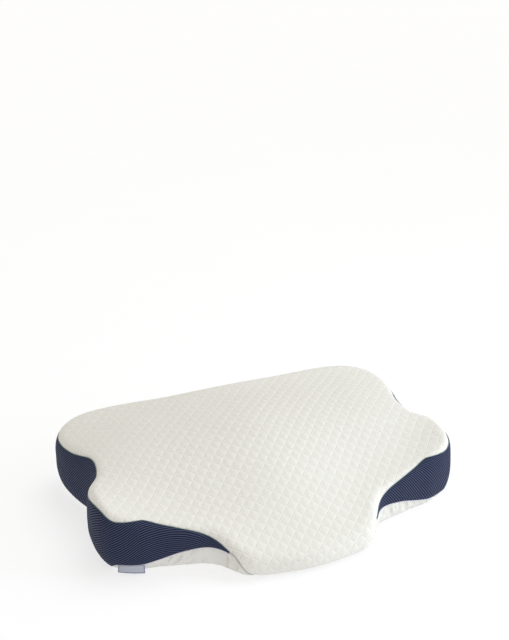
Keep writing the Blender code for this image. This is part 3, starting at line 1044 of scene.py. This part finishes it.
def air_mesh(name):
    """Navy spacer mesh: ribs with small perforations in the valleys between them; the rib tops are drawn
    lighter as a painted highlight, the valleys and perforations darker as a painted shade.
    """
    cloth = Cloth(name, 0.66)
    cloth.shader.inputs["Specular IOR Level"].default_value = 0.1
    uv, along, across = cloth.flat("rib")
    rib = cloth.math("SUBTRACT", 1.0, cloth.step(cloth.ping(across), 0.08, 0.36))
    holes = cloth.wave(along, 2.0)
    shifted = cloth.wave(cloth.math("ADD", along, 0.25), 2.0)
    row = cloth.math("FRACT", cloth.math("MULTIPLY", across, 0.5))
    odd = cloth.math("GREATER_THAN", row, 0.5)
    chosen = cloth.node("ShaderNodeMix", {0: odd, 2: holes, 3: shifted}, data_type="FLOAT").outputs[0]
    valley = cloth.math("SUBTRACT", 1.0, rib)
    hole = cloth.math("MULTIPLY", cloth.math("POWER", chosen, 2.0), cloth.math("POWER", valley, 1.5))
    yarn = cloth.noise(cloth.place(), 1500.0, 3.0, 0.6)
    # painted highlight on the rib tops and painted shade in the valleys between them
    tone = cloth.mix(rib, (0.005, 0.007, 0.020), (0.066, 0.081, 0.148))
    tone = cloth.mix(cloth.math("MULTIPLY", yarn, 0.15), tone, (0.036, 0.048, 0.105))
    # painted shade in the perforations
    tone = cloth.mix(cloth.math("MULTIPLY", hole, 0.9), tone, (0.0035, 0.0045, 0.014))
    tone = cloth.mix(cloth.math("MULTIPLY", cloth.value("edge"), 0.3), tone, (0.030, 0.050, 0.075))
    cloth.colour(tone)
    height = cloth.math("SUBTRACT", cloth.math("MULTIPLY", yarn, 0.5), cloth.math("MULTIPLY", hole, 0.9))
    height = cloth.math("ADD", height, cloth.math("MULTIPLY", rib, 1.2))
    cloth.bump(height, 0.0004, 0.8)
    return cloth.material


def tape(name):
    """The tab's satin tape, woven in fine ribs, with a deeper border."""
    cloth = Cloth(name, 0.55, sheen=0.15, sheen_rough=0.4)
    uv, along, across = cloth.flat("weave")
    weft = cloth.wave(across, 1 / 0.45)
    warp = cloth.wave(along, 1 / 0.6)
    weave = cloth.math("MULTIPLY", weft, warp)
    grain = cloth.noise(cloth.place(), 1800.0, 2.0, 0.6)
    tone = cloth.mix(weave, (0.42, 0.45, 0.53), (0.50, 0.53, 0.61))
    tone = cloth.mix(cloth.math("MULTIPLY", grain, 0.3), tone, (0.44, 0.47, 0.55))
    tone = cloth.mix(cloth.math("MULTIPLY", cloth.value("border"), 0.9), tone, (0.13, 0.15, 0.27))
    cloth.colour(tone)
    cloth.bump(cloth.math("ADD", weave, grain), 0.0002, 0.5)
    return cloth.material


def yarn(name, colour):
    """Sewing thread: two plies that twist round each other."""
    cloth = Cloth(name, 0.5, sheen=0.2)
    place = cloth.place()
    ply = cloth.noise(place, 1700.0, 2.0, 0.5)
    fine = cloth.noise(place, 420.0, 1.0, 0.5)
    tone = cloth.mix(ply, tuple(c * 0.72 for c in colour), tuple(min(1, c * 1.2) for c in colour))
    tone = cloth.mix(cloth.math("MULTIPLY", fine, 0.3), tone, colour)
    cloth.colour(tone)
    cloth.bump(ply, 0.0002, 0.6)
    return cloth.material


def floor_paint(name):
    """A lit white table: it glows a little, so that shadows on it stay faint."""
    cloth = Cloth(name, 0.85)
    put = cloth.shader.inputs
    put["Emission Color"].default_value = (1.0, 0.995, 0.995, 1)
    put["Emission Strength"].default_value = 0.68
    grain = cloth.noise(cloth.place(), 3.0, 2.0, 0.5)
    cloth.colour(cloth.mix(grain, (0.295, 0.30, 0.31), (0.305, 0.31, 0.32)))
    return cloth.material


# ----------------------------------------------------------------------- stage
def build_stage():
    size = 14.0
    mesh = bpy.data.meshes.new("studio_floor")
    mesh.from_pydata(
        [(-size, -size, 0), (size, -size, 0), (size, size, 0), (-size, size, 0)], [], [(0, 1, 2, 3)]
    )
    floor = bpy.data.objects.new("studio_floor", mesh)
    floor.location.z = -0.0004
    bpy.context.scene.collection.objects.link(floor)
    mesh.materials.append(floor_paint("pale_floor"))

    world = bpy.data.worlds.new("studio")
    bpy.context.scene.world = world
    world.use_nodes = True
    sky = world.node_tree.nodes["Background"]
    sky.inputs[0].default_value = (1.0, 0.965, 0.895, 1)
    sky.inputs[1].default_value = 0.745

    def softbox(name, place, size, power, colour):
        light = bpy.data.lights.new(name, "AREA")
        light.shape, light.size, light.energy, light.color = "DISK", size, power, colour
        lamp = bpy.data.objects.new(name, light)
        lamp.location = place
        lamp.rotation_mode = "QUATERNION"
        lamp.rotation_quaternion = (Vector(place) - Vector((0, 0, 0.08))).to_track_quat("Z", "Y")
        bpy.context.scene.collection.objects.link(lamp)

    def window(name, azimuth, rise, power, colour):
        """A wide soft light from far off; azimuth 0 is the front, 90 the right, in degrees."""
        light = bpy.data.lights.new(name, "SUN")
        light.energy, light.angle, light.color = power, math.radians(40), colour
        lamp = bpy.data.objects.new(name, light)
        a, e = math.radians(azimuth), math.radians(rise)
        away = Vector((math.sin(a) * math.cos(e), -math.cos(a) * math.cos(e), math.sin(e)))
        lamp.rotation_mode = "QUATERNION"
        lamp.rotation_quaternion = away.to_track_quat("Z", "Y")
        bpy.context.scene.collection.objects.link(lamp)

    window("overhead", 120, 60, 0.82, (0.95, 0.97, 1.0))
    softbox("key", (0.95, -0.55, 0.65), 0.5, 4.3, (0.76, 0.85, 1.0))
    softbox("low_right", (1.25, -0.4, 0.25), 0.5, 4.0, (0.90, 0.95, 1.0))
    softbox("front", (0.2, -1.2, 0.25), 0.5, 2.0, (0.92, 0.95, 1.0))

    camera = bpy.data.objects.new("camera", bpy.data.cameras.new("camera"))
    bpy.context.scene.collection.objects.link(camera)
    a, e = math.radians(-22.1795), math.radians(31.6869)
    back = Vector((math.sin(a) * math.cos(e), -math.cos(a) * math.cos(e), math.sin(e)))
    camera.location = Vector((0, -0.00419, 0.04811)) + back * 2.07903
    camera.rotation_mode = "QUATERNION"
    camera.rotation_quaternion = back.to_track_quat("Z", "Y")
    camera.data.sensor_width = 36
    camera.data.lens = 72.1
    camera.data.shift_x = -0.01089
    camera.data.shift_y = 0.24256
    camera.data.clip_start, camera.data.clip_end = 0.05, 60
    bpy.context.scene.camera = camera
    bpy.context.scene.view_settings.view_transform = "Standard"
    bpy.context.scene.view_settings.look = "None"


# ------------------------------------------------------------------------ main
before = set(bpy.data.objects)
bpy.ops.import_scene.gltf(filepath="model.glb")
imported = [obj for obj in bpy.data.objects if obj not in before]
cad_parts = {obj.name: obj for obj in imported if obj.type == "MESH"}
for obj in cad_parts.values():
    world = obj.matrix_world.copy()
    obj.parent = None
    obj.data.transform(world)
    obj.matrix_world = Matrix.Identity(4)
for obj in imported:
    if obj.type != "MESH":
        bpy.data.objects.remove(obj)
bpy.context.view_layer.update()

build_stage()
form = Form()

# the last colour of each knit is the painted shade of its seam creases
white = knit("knit_top", (0.706, 0.702, 0.668), (0.52, 0.52, 0.46), (0.28, 0.255, 0.165))
# the base is the same knit with its cells drawn a little darker than the top's: painted shade for the
# underside
white_base_shaded = knit("knit_base", (0.67, 0.666, 0.635), (0.54, 0.54, 0.49), (0.32, 0.30, 0.21))
navy = air_mesh("navy_air_mesh")

top = top_panel(form)
top.data.materials.append(white)
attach(top, "root")
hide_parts("pillow")

bottom = bottom_panel(form)
bottom.data.materials.append(white_base_shaded)
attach(bottom, "root")
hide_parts("bottom_panel")

for side, word, rises in ((1, "right", RIB_RISE_RIGHT), (-1, "left", RIB_RISE_LEFT)):
    strip, (long, wide, area) = gusset(form, f"gusset_cloth_{word}", side, rises)
    strip.data.materials.append(navy)
    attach(strip, "root")
    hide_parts(f"side_gusset_{word}")

teal = yarn("teal_thread", (0.10, 0.17, 0.20))
lavender = yarn("lavender_thread", (0.55, 0.53, 0.72))
for side, word in ((1, "right"), (-1, "left")):
    upper = thread(form, f"top_stitching_{word}", side, 1, -0.45, 0.42, 3.4)
    upper.data.materials.append(teal)
    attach(upper, "root")
    lower = thread(form, f"lower_stitching_{word}", side, -1, -0.35, 0.42, 3.4)
    lower.data.materials.append(lavender)
    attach(lower, "root")

tab, tab_flat = label_tab(form)
tab.data.materials.append(tape("label_tape"))
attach(tab, "root")
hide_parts("label")
